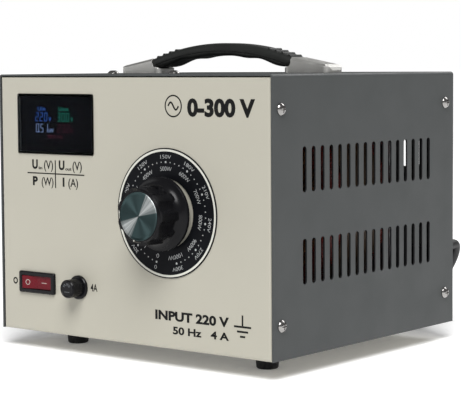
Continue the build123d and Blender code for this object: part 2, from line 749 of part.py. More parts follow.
def make_switch_body():
    """Black housing with a bezel on the panel and a well for the rocker."""
    half = ROCKER_ARC + 0.3
    body = slab(BEZEL_WIDTH, BEZEL_HEIGHT, 1.4, 0, 2)
    body = chamfer(body.faces().sort_by(Axis.Z)[-1].edges(), 0.6)
    body += block(2 * half + 1.7, 11.6, -25, 0)
    body -= block(2 * half, 2 * ROCKER_HALF_HEIGHT + 0.6, -14.5, 3)
    pivot = Pos(0, 0, -ROCKER_PIVOT_DEPTH) * Rot(90, 0, 0)
    body -= pivot * rod(1.2 + RUNNING_GAP, -5.4, 5.4)
    return FRONT * Pos(SWITCH_X, SWITCH_HEIGHT, 0) * body


def make_rocker():
    """Red rocker on two stub pins, shown pressed in on its right."""
    top = Polyline((-20, 1.9), (0, 0.8), (20, 1.9), (20, -7), (-20, -7), close=True)
    outline = make_face(top) & (Pos(0, -ROCKER_PIVOT_DEPTH) * Circle(ROCKER_ARC))
    rocker = extrude(Plane.XZ * outline, ROCKER_HALF_HEIGHT, both=True)
    rocker = chamfer(rocker.edges().filter_by(GeomType.LINE).filter_by(Axis.Y), 0.3)
    # The stub pins lie on the pivot line.
    rocker += Pos(0, 0, -ROCKER_PIVOT_DEPTH) * Rot(90, 0, 0) * rod(1.2, -5.2, 5.2)
    pivot = Pos(0, 0, -ROCKER_PIVOT_DEPTH)
    tilted = pivot * Rot(0, ROCKER_TILT, 0) * pivot.inverse() * rocker
    return FRONT * Pos(SWITCH_X, SWITCH_HEIGHT, 0) * tilted


def make_switch_tabs():
    """Four brass terminals at the back of the switch."""
    tabs = [block(0.8, 4.8, -34, -25, x, y) for x in (-9, 3) for y in (-3, 3)]
    return FRONT * Pos(SWITCH_X, SWITCH_HEIGHT, 0) * group(tabs)


# ---- Fuse ----

FUSE = FRONT * Pos(FUSE_X, FUSE_HEIGHT, 0)


def make_fuse_holder():
    """Threaded barrel with a flange on the panel."""
    holder = spin((0, -36), (FUSE_BARREL, -36), (FUSE_BARREL, 0), (7.87, 0), (7.87, 1.3), (7.3, 2), (0, 2))
    holder -= rod(4.6, -33, 3)
    return FUSE * holder


def make_fuse_nut():
    """Nut that holds the fuse holder behind the panel."""
    return FUSE * hex_nut(16.5, FUSE_BARREL + 0.05, -5.5, -SHEET)


def make_fuse_tabs():
    """Two brass terminals of the fuse holder."""
    return FUSE * group([block(4.8, 0.8, -45, -36), block(0.8, 4.8, -30, -22, FUSE_BARREL + 0.45)])


def make_fuse_cap():
    """Knurled cap with a dished face and a sleeve round the end of the fuse."""
    cap = spin((0, 2.1), (6, 2.1), (6, 11.1), (5.4, 11.9), (4.9, 11.9), (4.6, 11.6), (0, 11.6))
    cap += rod(4.4, -9, 2.1)
    cap -= rod(2.68, -10, 2.6)
    for index in range(24):
        cap -= Rot(0, 0, index * 15) * rod(0.28, 3, 9.5, 6.05)
    return FUSE * cap


def make_fuse():
    """Cartridge fuse, plated ends on a glass tube, held in the sleeve of the cap."""
    return FUSE * (rod(2.6, -17.5, 2.5) - ring(2.7, 2.3, -12.6, -2.4))


# ---- Rear socket ----

SOCKET = REAR * Pos(-SOCKET_X, SOCKET_HEIGHT, 0)


def socket_screw_offsets():
    """Screws in the four corners of the socket flange."""
    return [(side * 20.5, up * 20.5) for side in (-1, 1) for up in (-1, 1)]


def make_socket_body():
    """Square flange with a deep round recess for a round earthed plug."""
    body = slab(52, 52, 5, 0, 3)
    body = chamfer(body.faces().sort_by(Axis.Z)[-1].edges(), 0.8)
    body += rod(RECESS_RADIUS + 2.2, -30, 0)
    body -= rod(RECESS_RADIUS, 3 - RECESS_DEPTH, 4)
    for side in (-1, 1):
        body -= rod(PIN_HOLE, -31, 0, side * PIN_SPACING / 2)
        body -= rod(3.4, -31, -18, side * PIN_SPACING / 2)
        body -= block(6.4, 2.2, -31, 3.1, 0, side * (RECESS_RADIUS + 0.2))
    for dx, dy in socket_screw_offsets():
        body -= rod(1.7, -1, 4, dx, dy)
        body -= rod(3.1, 1.9, 4, dx, dy)
    return SOCKET * body


def make_socket_contacts():
    """Brass sleeves that take the pins."""
    sleeves = []
    for side in (-1, 1):
        x = side * PIN_SPACING / 2
        sleeve = ring(3.3, PIN_HOLE, -32, -18.1, x)
        sleeves.append(sleeve + block(0.8, 5, -40, -31, x + 3.0))
    return SOCKET * group(sleeves)


def make_socket_earth():
    """Earth clip in the top and bottom of the recess, joined behind."""
    reach = RECESS_RADIUS + 0.55
    clip = block(6, 0.8, -31.6, 1, 0, reach) + block(6, 0.8, -31.6, 1, 0, -reach)
    clip += block(6, 2 * reach, -31.6, -30.6)
    return SOCKET * clip


def make_socket_screws():
    """Four screws that hold the socket, heads sunk in the flange."""
    screw = pan_screw(2.9, 1.4, 1.6, 6)
    return SOCKET * group([Pos(dx, dy, 1.9) * screw for dx, dy in socket_screw_offsets()])


# ---- Mains lead ----

def make_strain_relief():
    """Tapered rubber boot locked in the rear panel, grooved so that it flexes."""
    boot = spin(
        (0, -6),
        (6.3, -6),
        (6.3, 0),
        (9.2, 0),
        (9.2, 2.2),
        (8.6, 3),
        (6.6, 3.6),
        (5.2, BOOT_LENGTH - 1),
        (4.6, BOOT_LENGTH),
        (0, BOOT_LENGTH),
    )
    boot += ring(8.2, 6.2, -4.5, -SHEET - 0.1)
    for index in range(5):
        boot -= ring(9, 5.0 - 0.1 * index, 8 + index * 4.2, 9.5 + index * 4.2) & block(30, 6, 0, 40, 0, 0)
    return REAR * Pos(-LEAD_X, LEAD_HEIGHT, 0) * boot


LEAD_GROUND = LEAD_DIAMETER / 2 + 0.4
LEAD_EXIT = UNDERSIDE + LEAD_HEIGHT
COIL_NEAR = REAR_Y + COIL_BEHIND - COIL_RADIUS - 8


def lead_route():
    """Corner points of the mains lead from the strain relief to the coil on the ground."""
    return [
        (LEAD_X, REAR_Y + BOOT_LENGTH, LEAD_EXIT),
        (LEAD_X, REAR_Y + 34, LEAD_EXIT),
        (89, REAR_Y + 42.5, 49),
        (86, REAR_Y + 42, 34),
        (79, REAR_Y + 39, 17),
        (62, REAR_Y + 35, 5.5),
        (40, REAR_Y + 28, LEAD_GROUND),
        (14, REAR_Y + 20.5, LEAD_GROUND),
        (COIL_X, COIL_NEAR, LEAD_GROUND),
    ]


def tail_route():
    """Corner points of the end of the lead, from the top of the coil to the plug."""
    return [
        (COIL_X, COIL_NEAR, 12),
        (COIL_X - 18, COIL_NEAR - 0.5, 12.3),
        (PLUG_BACK + 14, REAR_Y + 20, PLUG_HEIGHT),
        (PLUG_BACK, REAR_Y + 20, PLUG_HEIGHT),
    ]


def corner_radii(points):
    """The largest arc at each corner that its two runs allow."""
    vectors = [Vector(*point) for point in points]
    radii = []
    for before, corner, after in zip(vectors, vectors[1:], vectors[2:]):
        turn = math.radians((corner - before).get_angle(after - corner))
        shorter = min((corner - before).length, (after - corner).length)
        radii.append(0.45 * shorter / math.tan(turn / 2))
    return radii


def lead_tube(points, name):
    """A round tube along straight runs joined by arcs."""
    radii = corner_radii(points)
    path = FilletPolyline(*points, radius=radii)
    print(name, "length", round(path.length, 1), "radii", [round(radius, 1) for radius in radii])
    section = Plane(origin=path @ 0, z_dir=path % 0) * Circle(LEAD_DIAMETER / 2)
    tube = sweep(section, path=path)
    print(name, "volume", round(tube.volume), "expected", round(section.area * path.length))
    return tube


def coil_section(allowance):
    """Outer shape of the coiled turns in section, in its place beside the axis of the coil."""
    section = Rectangle(COIL_BAND + 2 * allowance, COIL_HEIGHT + 2 * allowance)
    return Pos(COIL_RADIUS, COIL_BOTTOM + COIL_HEIGHT / 2) * fillet(section.vertices(), 4)


def make_lead_coil():
    """The stored turns of the lead, as one closed ring."""
    coil = revolve(Plane.XZ * coil_section(0), Axis.Z)
    return Pos(COIL_X, REAR_Y + COIL_BEHIND, 0) * coil


def make_lead_tie():
    """Strap round the coil."""
    wrap = coil_section(0.8) - coil_section(FIT)
    tie = revolve(Plane.XZ * wrap, Axis.Z, revolution_arc=math.degrees(TIE_WIDTH / COIL_RADIUS))
    return Pos(COIL_X, REAR_Y + COIL_BEHIND, 0) * Rot(0, 0, 55) * tie


PLUG = Pos(PLUG_BACK, REAR_Y + 20, PLUG_HEIGHT) * Rot(0, -90, 0)


def make_plug():
    """Round earthed plug lying on its side, with two pins moulded in."""
    pin = fillet(rod(2.4, 40, 61).edges().group_by(Axis.Z)[-1], 1.8)
    body = spin(
        (0, 0),
        (4.6, 0),
        (5.2, 2),
        (6.2, 13),
        (13, 18),
        (17.5, 23),
        (19, 28),
        (19, 41),
        (18.2, 42),
        (0, 42),
    )
    for side in (-1, 1):
        body -= block(8, 3.2, 27, 43, side * 18.6)
        body += Pos(0, side * PIN_SPACING / 2, 0) * pin
    return PLUG * body


NODES = {
    "chassis": make_chassis(),
    "rear_panel": make_rear_panel(),
    "rear_panel_screws": make_rear_panel_screws(),
    "top_cover": make_top_cover(),
    "cover_screws": make_cover_screws(),
    "feet": make_feet(),
    "foot_screws": make_foot_screws(),
    "base_nuts": make_base_nuts(),
    "handle_grip": make_handle_grip(),
    "handle_strap": make_handle_strap(),
    "handle_end_right": ABOVE * make_handle_end(),
    "handle_end_left": ABOVE * mirror(make_handle_end(), Plane.YZ),
    "handle_bolts": make_handle_bolts(),
    "display_lens": make_display_lens(),
    "display_frame": make_display_frame(),
    "display_screen": make_display_screen(),
    "display_board": make_display_board(),
    "board_components": make_board_components(),
    "dial_plate": make_dial_plate(),
    "knob": make_knob(),
    "knob_cap": make_knob_cap(),
    "grub_screws": make_grub_screws(),
    "shaft": make_shaft(),
    "winding": make_winding(),
    "winding_band": make_winding_band(),
    "core": make_core(),
    "core_insulators": make_core_insulators(),
    "clamp_disc": make_clamp_disc(),
    "rear_washer": make_rear_washer(),
    "hub_tube": make_hub_tube(),
    "hub_nut": make_hub_nut(),
    "shaft_bushes": make_shaft_bushes(),
    "bracket": make_bracket(),
    "bracket_bolts": make_bracket_bolts(),
    "stop_pin": make_stop_pin(),
    "brush_arm": make_brush_arm(),
    "brush_holder": make_brush_holder(),
    "carbon_brush": make_carbon_brush(),
    "brush_spring": make_brush_spring(),
    "collector_ring": make_collector_ring(),
    "finger_block": make_finger_block(),
    "collector_finger": make_collector_finger(),
    "switch_body": make_switch_body(),
    "rocker": make_rocker(),
    "switch_tabs": make_switch_tabs(),
    "fuse_holder": make_fuse_holder(),
    "fuse_nut": make_fuse_nut(),
    "fuse_tabs": make_fuse_tabs(),
    "fuse_cap": make_fuse_cap(),
    "fuse": make_fuse(),
    "socket_body": make_socket_body(),
    "socket_contacts": make_socket_contacts(),
    "socket_earth": make_socket_earth(),
    "socket_screws": make_socket_screws(),
    "strain_relief": make_strain_relief(),
    "mains_lead": lead_tube(lead_route(), "mains_lead"),
    "lead_coil": make_lead_coil(),
    "lead_tie": make_lead_tie(),
    "lead_tail": lead_tube(tail_route(), "lead_tail"),
    "plug": make_plug(),
}

os.makedirs("parts", exist_ok=True)
for name, shape in NODES.items():
    export_step(shape, f"parts/{name}.step")
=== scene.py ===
import json
import math

import bpy
from mathutils import Matrix, Vector


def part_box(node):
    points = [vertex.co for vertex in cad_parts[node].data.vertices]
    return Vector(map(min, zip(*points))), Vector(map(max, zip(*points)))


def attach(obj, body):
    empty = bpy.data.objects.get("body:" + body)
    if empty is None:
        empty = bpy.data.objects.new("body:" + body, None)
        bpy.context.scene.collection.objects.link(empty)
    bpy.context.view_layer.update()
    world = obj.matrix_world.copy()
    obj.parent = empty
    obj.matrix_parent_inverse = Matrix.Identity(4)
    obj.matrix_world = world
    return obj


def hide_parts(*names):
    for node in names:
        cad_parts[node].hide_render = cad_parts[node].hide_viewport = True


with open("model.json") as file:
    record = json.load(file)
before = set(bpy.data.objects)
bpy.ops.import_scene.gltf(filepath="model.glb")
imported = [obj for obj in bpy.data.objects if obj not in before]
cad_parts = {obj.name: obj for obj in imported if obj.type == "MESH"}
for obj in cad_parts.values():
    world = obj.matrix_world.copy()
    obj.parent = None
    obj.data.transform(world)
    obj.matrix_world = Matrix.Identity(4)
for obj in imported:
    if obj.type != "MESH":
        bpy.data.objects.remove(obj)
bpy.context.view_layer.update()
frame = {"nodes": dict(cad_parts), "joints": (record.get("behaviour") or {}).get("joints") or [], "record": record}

# Looks of a bench autotransformer. Metres, +Z up, the front panel faces -Y.

MM = 0.001
nodes = frame["nodes"]

# ---- Places taken from the frame ----

COVER_LOW, COVER_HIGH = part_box("top_cover")
PANEL_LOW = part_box("chassis")[0]
DIAL_LOW, DIAL_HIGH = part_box("dial_plate")
SCREEN_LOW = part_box("display_screen")[0]
PANEL_Y = PANEL_LOW.y
REAR_Y = COVER_HIGH.y
UNDERSIDE = COVER_LOW.z
MIDDLE_Y = (COVER_LOW.y + COVER_HIGH.y) / 2
DIAL_X = (DIAL_LOW.x + DIAL_HIGH.x) / 2
DIAL_Z = (DIAL_LOW.z + DIAL_HIGH.z) / 2
JOINTS = {joint["name"]: joint for joint in frame["joints"]}


# ---- Materials ----

# Sockets of the mix node that carry colours.
MIX_FIRST, MIX_SECOND, MIX_RESULT = 6, 7, 2
BEVEL_SAMPLES = 4


class Shader:
    """Builds one material out of nodes round a Principled shader."""

    def __init__(self, name):
        self.material = bpy.data.materials.new(name)
        self.material.use_nodes = True
        self.tree = self.material.node_tree
        self.principled = self.tree.nodes["Principled BSDF"]
        self.place = self.node("ShaderNodeTexCoord").outputs["Object"]

    def node(self, kind, **values):
        """A new node with its settings."""
        made = self.tree.nodes.new(kind)
        for key, value in values.items():
            setattr(made, key, value)
        return made

    def link(self, source, target):
        self.tree.links.new(source, target)

    def noise(self, per_metre, detail=2.0, rough=0.5, stretch=None):
        """Noise over the piece, with about that many features in a metre."""
        made = self.node("ShaderNodeTexNoise")
        made.inputs["Scale"].default_value = per_metre
        made.inputs["Detail"].default_value = detail
        made.inputs["Roughness"].default_value = rough
        place = self.place
        if stretch:
            mapping = self.node("ShaderNodeMapping")
            mapping.inputs["Scale"].default_value = stretch
            self.link(self.place, mapping.inputs["Vector"])
            place = mapping.outputs["Vector"]
        self.link(place, made.inputs["Vector"])
        return made.outputs["Fac"]

    def span(self, value, low, high, source_low=0.3, source_high=0.7):
        """The value brought from one span to another."""
        made = self.node("ShaderNodeMapRange")
        made.inputs["From Min"].default_value = source_low
        made.inputs["From Max"].default_value = source_high
        made.inputs["To Min"].default_value = low
        made.inputs["To Max"].default_value = high
        self.link(value, made.inputs["Value"])
        return made.outputs["Result"]

    def math(self, operation, first, second):
        """Two values combined; the second may be a number."""
        made = self.node("ShaderNodeMath", operation=operation)
        self.link(first, made.inputs[0])
        if isinstance(second, (int, float)):
            made.inputs[1].default_value = second
        else:
            self.link(second, made.inputs[1])
        return made.outputs["Value"]

    def mix(self, factor, first, second):
        """A colour between two, each a colour or a node's output."""
        made = self.node("ShaderNodeMix", data_type="RGBA")
        self.link(factor, made.inputs["Factor"])
        for value, target in ((first, made.inputs[MIX_FIRST]), (second, made.inputs[MIX_SECOND])):
            if isinstance(value, tuple):
                target.default_value = (*value, 1.0)
            else:
                self.link(value, target)
        return made.outputs[MIX_RESULT]

    def edge(self, width):
        """1 on edges and corners, 0 on open surface."""
        bevel = self.node("ShaderNodeBevel", samples=BEVEL_SAMPLES)
        bevel.inputs["Radius"].default_value = width
        dot = self.node("ShaderNodeVectorMath", operation="DOT_PRODUCT")
        self.link(bevel.outputs["Normal"], dot.inputs[0])
        self.link(self.node("ShaderNodeNewGeometry").outputs["Normal"], dot.inputs[1])
        return self.span(dot.outputs["Value"], 1.0, 0.0, 0.75, 0.99)

    def bump(self, height, distance, strength, bevel=0.0):
        """Relief on the surface, over edges softened by the bevel width."""
        made = self.node("ShaderNodeBump")
        made.inputs["Distance"].default_value = distance
        made.inputs["Strength"].default_value = strength
        self.link(height, made.inputs["Height"])
        if bevel:
            soft = self.node("ShaderNodeBevel", samples=BEVEL_SAMPLES)
            soft.inputs["Radius"].default_value = bevel
            self.link(soft.outputs["Normal"], made.inputs["Normal"])
        self.link(made.outputs["Normal"], self.principled.inputs["Normal"])

    def set(self, **values):
        """Sets sockets of the shader; a double underscore stands for a space."""
        for key, value in values.items():
            socket = self.principled.inputs[key.replace("__", " ")]
            if isinstance(value, bpy.types.NodeSocket):
                self.link(value, socket)
            elif isinstance(value, tuple):
                socket.default_value = (*value, 1.0)
            else:
                socket.default_value = value
        return self.material


def shade(colour, factor):
    """The colour made lighter or darker."""
    return tuple(min(1.0, channel * factor) for channel in colour)


# Along each axis, how far in from the case's box its inside begins. At the sides it's just under the paint.
CASE_SKINS = (("X", 0.00006), ("Y", 0.008), ("Z", 0.008))


def inside_case(made):
    """1 on what lies within the walls of the case, 0 on its outer faces and rims."""
    parts = made.node("ShaderNodeSeparateXYZ")
    made.link(made.place, parts.inputs["Vector"])
    mask = None
    for axis, skin in CASE_SKINS:
        low, high = (getattr(corner, axis.lower()) for corner in (COVER_LOW, COVER_HIGH))
        half = (high - low) / 2
        from_middle = made.math("ABSOLUTE", made.math("SUBTRACT", parts.outputs[axis], (low + high) / 2), 0)
        within = made.span(from_middle, 1.0, 0.0, half - skin, half - skin / 2)
        mask = made.math("MULTIPLY", mask, within) if mask else within
    return mask


def surface(name, colour, rough, metal=0.0, vary=0.05, patch=25, grain=900, relief=0.00002,
            rough_vary=0.06, worn=None, worn_width=0.0006, bevel=0.0003, stretch=None, inner=None, **sockets):
    """A finished surface: patchy colour and roughness, a fine relief and soft edges.

    Edges may be worn to another colour, and the inside of the case may be given painted shade.
    """
    made = Shader(name)
    patches = made.noise(patch, 4.0, 0.6)
    colour_out = made.mix(made.span(patches, 0.0, 1.0), shade(colour, 1 - vary), shade(colour, 1 + vary))
    fine = made.noise(grain, 3.0, 0.6, stretch)
    rough_out = made.span(made.noise(patch * 3, 3.0), rough - rough_vary, rough + rough_vary)
    if worn:
        scuffs = made.span(made.noise(350, 4.0, 0.7), 0.0, 1.0, 0.48, 0.68)
        mask = made.math("MULTIPLY", made.edge(worn_width), scuffs)
        colour_out = made.mix(mask, colour_out, worn)
    # Painted shade: what lies within the case's walls takes the darker inner colour, so the slots read dark.
    if inner:
        colour_out = made.mix(inside_case(made), colour_out, inner)
    made.bump(fine, relief, 0.6, bevel)
    return made.set(Base__Color=colour_out, Roughness=rough_out, Metallic=metal, **sockets)


CREAM = (0.418, 0.401, 0.337)
GREY = (0.053, 0.057, 0.0575)
# Painted shade for the inside of the case and its slot walls.
CASE_INSIDE_SHADE = (0.010, 0.010, 0.011)
BLACK = (0.006, 0.006, 0.007)

FINISHES = {}


def finish(slot, material):
    """Keeps the material for every node with that slot of the record."""
    FINISHES[slot] = material


finish("cream_paint", surface("cream_powder_coat", CREAM, 0.46, vary=0.012, patch=12, grain=1400,
                              relief=0.00003, worn=shade(CREAM, 1.25), worn_width=0.0008))
# The grey cover gets painted shade on its inside.
finish("grey_paint", surface("grey_powder_coat", GREY, 0.5, vary=0.02, patch=14, grain=1100, relief=0.00005,
                             worn=shade(GREY, 1.6), worn_width=0.0006, inner=CASE_INSIDE_SHADE,
                             Specular__IOR__Level=0.35))
finish("zinc_steel", surface("zinc_plate", (0.55, 0.56, 0.57), 0.32, 1.0, vary=0.08, patch=60, grain=500))
finish("chrome_screw", surface("bright_plate", (0.36, 0.35, 0.34), 0.2, 1.0, vary=0.08, patch=200,
                               grain=2500, relief=0.00001, bevel=0.0002))
finish("black_rubber", surface("moulded_rubber", (0.007, 0.007, 0.009), 0.5, vary=0.2, patch=90, grain=1500,
                               relief=0.00004, Specular__IOR__Level=0.3))
finish("black_plastic", surface("textured_plastic", (0.012, 0.013, 0.012), 0.45, vary=0.15, patch=40,
                                grain=1800, relief=0.00003, worn=(0.04, 0.04, 0.04),
                                Specular__IOR__Level=0.3))
finish("gloss_black", surface("polished_plastic", BLACK, 0.23, vary=0.1, patch=50, grain=220,
                              relief=0.000008, rough_vary=0.03, bevel=0.0004, Specular__IOR__Level=0.15))
finish("handle_alloy", surface("satin_alloy", (0.78, 0.77, 0.74), 0.38, 1.0, vary=0.04, patch=60, grain=700,
                               relief=0.000005, stretch=(0.15, 1.0, 1.0), bevel=0.0004))
finish("spring_steel", surface("spring_steel", (0.30, 0.31, 0.33), 0.35, 1.0, vary=0.1, grain=600))
finish("screen_black", surface("screen_glass", (0.003, 0.004, 0.008), 0.2, vary=0.1, grain=300,
                               relief=0.000004, Specular__IOR__Level=0.1))
finish("circuit_board", surface("circuit_board", (0.02, 0.13, 0.05), 0.3, vary=0.25, patch=300, grain=900))
finish("component_black", surface("component_epoxy", (0.03, 0.03, 0.035), 0.5, vary=0.2, grain=1500))
finish("dial_black", surface("dial_film", (0.004, 0.0045, 0.006), 0.5, vary=0.1, patch=60, grain=1800,
                             relief=0.00001, bevel=0.0001, Specular__IOR__Level=0.08))
finish("steel_shaft", surface("ground_steel", (0.50, 0.51, 0.53), 0.25, 1.0, vary=0.06, grain=900,
                              stretch=(1, 0.1, 1)))
finish("core_steel", surface("core_strip", (0.25, 0.26, 0.28), 0.4, 1.0, vary=0.1, grain=1200))
finish("insulation_cup", surface("insulation_cup", (0.45, 0.36, 0.22), 0.55, vary=0.1))
finish("varnished_band", surface("varnished_cloth", (0.09, 0.055, 0.03), 0.4, vary=0.2, patch=100, grain=1500,
                                 relief=0.00008))
finish("phenolic", surface("phenolic_sheet", (0.16, 0.075, 0.035), 0.4, vary=0.2, patch=120, grain=1200,
                           relief=0.00003))
finish("plain_brass", surface("brass", (0.60, 0.42, 0.17), 0.28, 1.0, vary=0.12, patch=90, grain=900))
finish("bearing_bronze", surface("bronze", (0.48, 0.29, 0.14), 0.36, 1.0, vary=0.15, patch=90, grain=1500))
finish("cast_alloy", surface("cast_alloy", (0.36, 0.36, 0.36), 0.5, 1.0, vary=0.1, grain=900, relief=0.0001))
finish("carbon", surface("carbon", (0.022, 0.022, 0.023), 0.5, vary=0.2, grain=2500, relief=0.00003))
finish("fuse_glass", surface("fuse_glass", (0.45, 0.46, 0.46), 0.12, vary=0.05, grain=300, relief=0.000004))
finish("red_plastic", surface("red_plastic", (0.115, 0.002, 0.008), 0.3, vary=0.08, patch=120, grain=500,
                              relief=0.00001, bevel=0.0003, Specular__IOR__Level=0.2))
finish("lead_rubber", surface("lead_sheath", (0.018, 0.018, 0.019), 0.5, vary=0.15, patch=60, grain=1300,
                              relief=0.00005, bevel=0.0))
finish("nylon_tie", surface("nylon_strap", (0.03, 0.03, 0.03), 0.55, vary=0.2, patch=200, grain=2500,
                            relief=0.00008, bevel=0.0))

PRINT_BLACK = surface("print_black", (0.007, 0.007, 0.007), 0.45, vary=0.15, grain=1800, relief=0.00001,
                      bevel=0.0, Specular__IOR__Level=0.1)
PRINT_WHITE = surface("print_white", (0.60, 0.60, 0.54), 0.45, vary=0.04, grain=1800, relief=0.00001,
                      bevel=0.0)
PRINT_GREY = surface("print_grey", (0.42, 0.43, 0.43), 0.45, vary=0.1, grain=1800, relief=0.00001,
                     bevel=0.0, Specular__IOR__Level=0.2)
PRINT_FAINT = surface("print_faint", (0.16, 0.17, 0.18), 0.5, vary=0.2, grain=1800, relief=0.00001,
                      bevel=0.0, Specular__IOR__Level=0.1)

# The cap's colour carries a painted highlight along two fans at this angle, with painted shade between them.
HIGHLIGHT_FAN_ANGLE = math.radians(38)
HIGHLIGHT_FAN_EDGES = (0.55, 1.12)
CAP_PAINTED_SHADE = (0.042, 0.068, 0.070)
CAP_PAINTED_HIGHLIGHT = (0.56, 0.58, 0.58)


def spun_aluminium():
    """Turned face of the knob's cap, with a painted highlight along two fans and painted shade between them."""
    made = Shader("spun_aluminium")
    tangent = made.node("ShaderNodeTangent", direction_type="RADIAL", axis="Y")
    made.link(tangent.outputs["Tangent"], made.principled.inputs["Tangent"])
    low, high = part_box("knob_cap")
    shift = made.node("ShaderNodeVectorMath", operation="SUBTRACT")
    made.link(made.place, shift.inputs[0])
    shift.inputs[1].default_value = (low + high) / 2
    flat = made.node("ShaderNodeVectorMath", operation="MULTIPLY")
    made.link(shift.outputs["Vector"], flat.inputs[0])
    flat.inputs[1].default_value = (1, 0, 1)
    radius = made.node("ShaderNodeVectorMath", operation="LENGTH")
    made.link(flat.outputs["Vector"], radius.inputs[0])
    rings = made.node("ShaderNodeTexNoise", noise_dimensions="1D")
    rings.inputs["Scale"].default_value = 9000
    rings.inputs["Detail"].default_value = 2
    made.link(radius.outputs["Value"], rings.inputs["W"])
    made.bump(rings.outputs["Fac"], 0.000004, 0.5, 0.0002)
    parts = made.node("ShaderNodeSeparateXYZ")
    made.link(shift.outputs["Vector"], parts.inputs["Vector"])
    angle = made.math("ARCTAN2", parts.outputs["Z"], parts.outputs["X"])
    swing = made.node("ShaderNodeMath", operation="COSINE")
    made.link(made.math("MULTIPLY", made.math("SUBTRACT", angle, HIGHLIGHT_FAN_ANGLE), 2.0), swing.inputs[0])
    streaks = made.node("ShaderNodeTexNoise", noise_dimensions="1D")
    streaks.inputs["Scale"].default_value = 7
    streaks.inputs["Detail"].default_value = 5
    made.link(angle, streaks.inputs["W"])
    uneven = made.span(streaks.outputs["Fac"], -0.16, 0.16)
    # Painted highlight along the fans, painted shade elsewhere on the cap.
    painted_highlight_fans = made.span(made.math("ADD", swing.outputs["Value"], uneven), 0.0, 1.0, *HIGHLIGHT_FAN_EDGES)
    colour = made.mix(painted_highlight_fans, CAP_PAINTED_SHADE, CAP_PAINTED_HIGHLIGHT)
    return made.set(Base__Color=colour, Roughness=made.span(rings.outputs["Fac"], 0.42, 0.5), Metallic=1.0,
                    Anisotropic=0.9)


def smoked_window():
    """Smoked plastic that lets the lit digits through."""
    made = Shader("smoked_window")
    smudges = made.span(made.noise(90, 4.0, 0.6), 0.02, 0.06)
    made.bump(made.noise(60, 2.0), 0.00001, 0.3, 0.0002)
    tint = made.mix(made.span(made.noise(30), 0, 1), (0.34, 0.36, 0.40), (0.40, 0.42, 0.46))
    return made.set(Base__Color=tint, Roughness=smudges, Transmission__Weight=1.0, IOR=1.09)


# The pins stand this far out of the plug, and their metal begins just outside its face.
PIN_LENGTH = 0.019
PIN_METAL, PIN_RUBBER = 0.0009, 0.0005


def moulded_plug():
    """Rubber body of the plug, with plated metal on its pins."""
    made = Shader("moulded_plug")
    parts = made.node("ShaderNodeSeparateXYZ")
    made.link(made.place, parts.inputs["Vector"])
    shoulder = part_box("plug")[0].x + PIN_LENGTH
    pins = made.span(parts.outputs["X"], 1.0, 0.0, shoulder - PIN_METAL, shoulder - PIN_RUBBER)
    rubber = made.mix(made.span(made.noise(60, 4.0), 0, 1), (0.015, 0.015, 0.016), (0.021, 0.021, 0.022))
    fine = made.noise(1500, 3.0)
    made.bump(fine, 0.00003, 0.5, 0.0003)
    rough = made.mix(pins, (0.48, 0.48, 0.48), (0.26, 0.26, 0.26))
    return made.set(Base__Color=made.mix(pins, rubber, (0.62, 0.60, 0.55)), Metallic=pins, Roughness=rough)


finish("spun_aluminium", spun_aluminium())
finish("plug_rubber", moulded_plug())
finish("smoked_window", smoked_window())


def glow(name, colour, strength):
    """Lit segments of the screen, a little uneven."""
    made = Shader(name)
    level = made.mix(made.span(made.noise(700, 2.0), 0, 1), shade(colour, 0.75), colour)
    return made.set(Base__Color=level, Roughness=0.4, Emission__Color=level, Emission__Strength=strength)


def winding_wire():
    """Enamelled copper wire, dark red in patches under a thin clear coat."""
    made = Shader("enamelled_wire")
    patches = made.span(made.noise(60, 3.0), 0, 1)
    colour = made.mix(patches, (0.10, 0.009, 0.008), (0.20, 0.020, 0.014))
    made.bump(made.noise(900, 2.0), 0.00003, 0.5)
    return made.set(Base__Color=colour, Roughness=made.span(made.noise(200), 0.22, 0.4), Coat__Weight=0.3)


def bared_track():
    """Polished copper where the brush runs."""
    made = Shader("bared_copper")
    patches = made.span(made.noise(150, 3.0), 0, 1)
    colour = made.mix(patches, (0.55, 0.24, 0.12), (0.68, 0.33, 0.18))
    made.bump(made.noise(1500, 2.0), 0.00002, 0.5)
    return made.set(Base__Color=colour, Roughness=made.span(made.noise(300), 0.25, 0.45), Metallic=1.0)


def dress_nodes():
    """Gives every CAD node the finish of its slot."""
    slots = {row["node"]: row["material_slot"] for row in frame["record"]["subparts"]}
    for name, node in nodes.items():
        node.data.materials.clear()
        node.data.materials.append(FINISHES[slots[name]])


FINISHES["copper_winding"] = winding_wire()
dress_nodes()


# ---- Mesh helpers ----

def piece(name, points, faces, body, material, smooth=False):
    """A mesh piece in the row frame that rides on a body."""
    mesh = bpy.data.meshes.new(name)
    mesh.from_pydata([tuple(point) for point in points], [], faces)
    mesh.materials.append(material)
    mesh.polygons.foreach_set("use_smooth", [smooth] * len(mesh.polygons))
    mesh.update()
    made = bpy.data.objects.new(name, mesh)
    bpy.context.scene.collection.objects.link(made)
    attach(made, body)
    return made


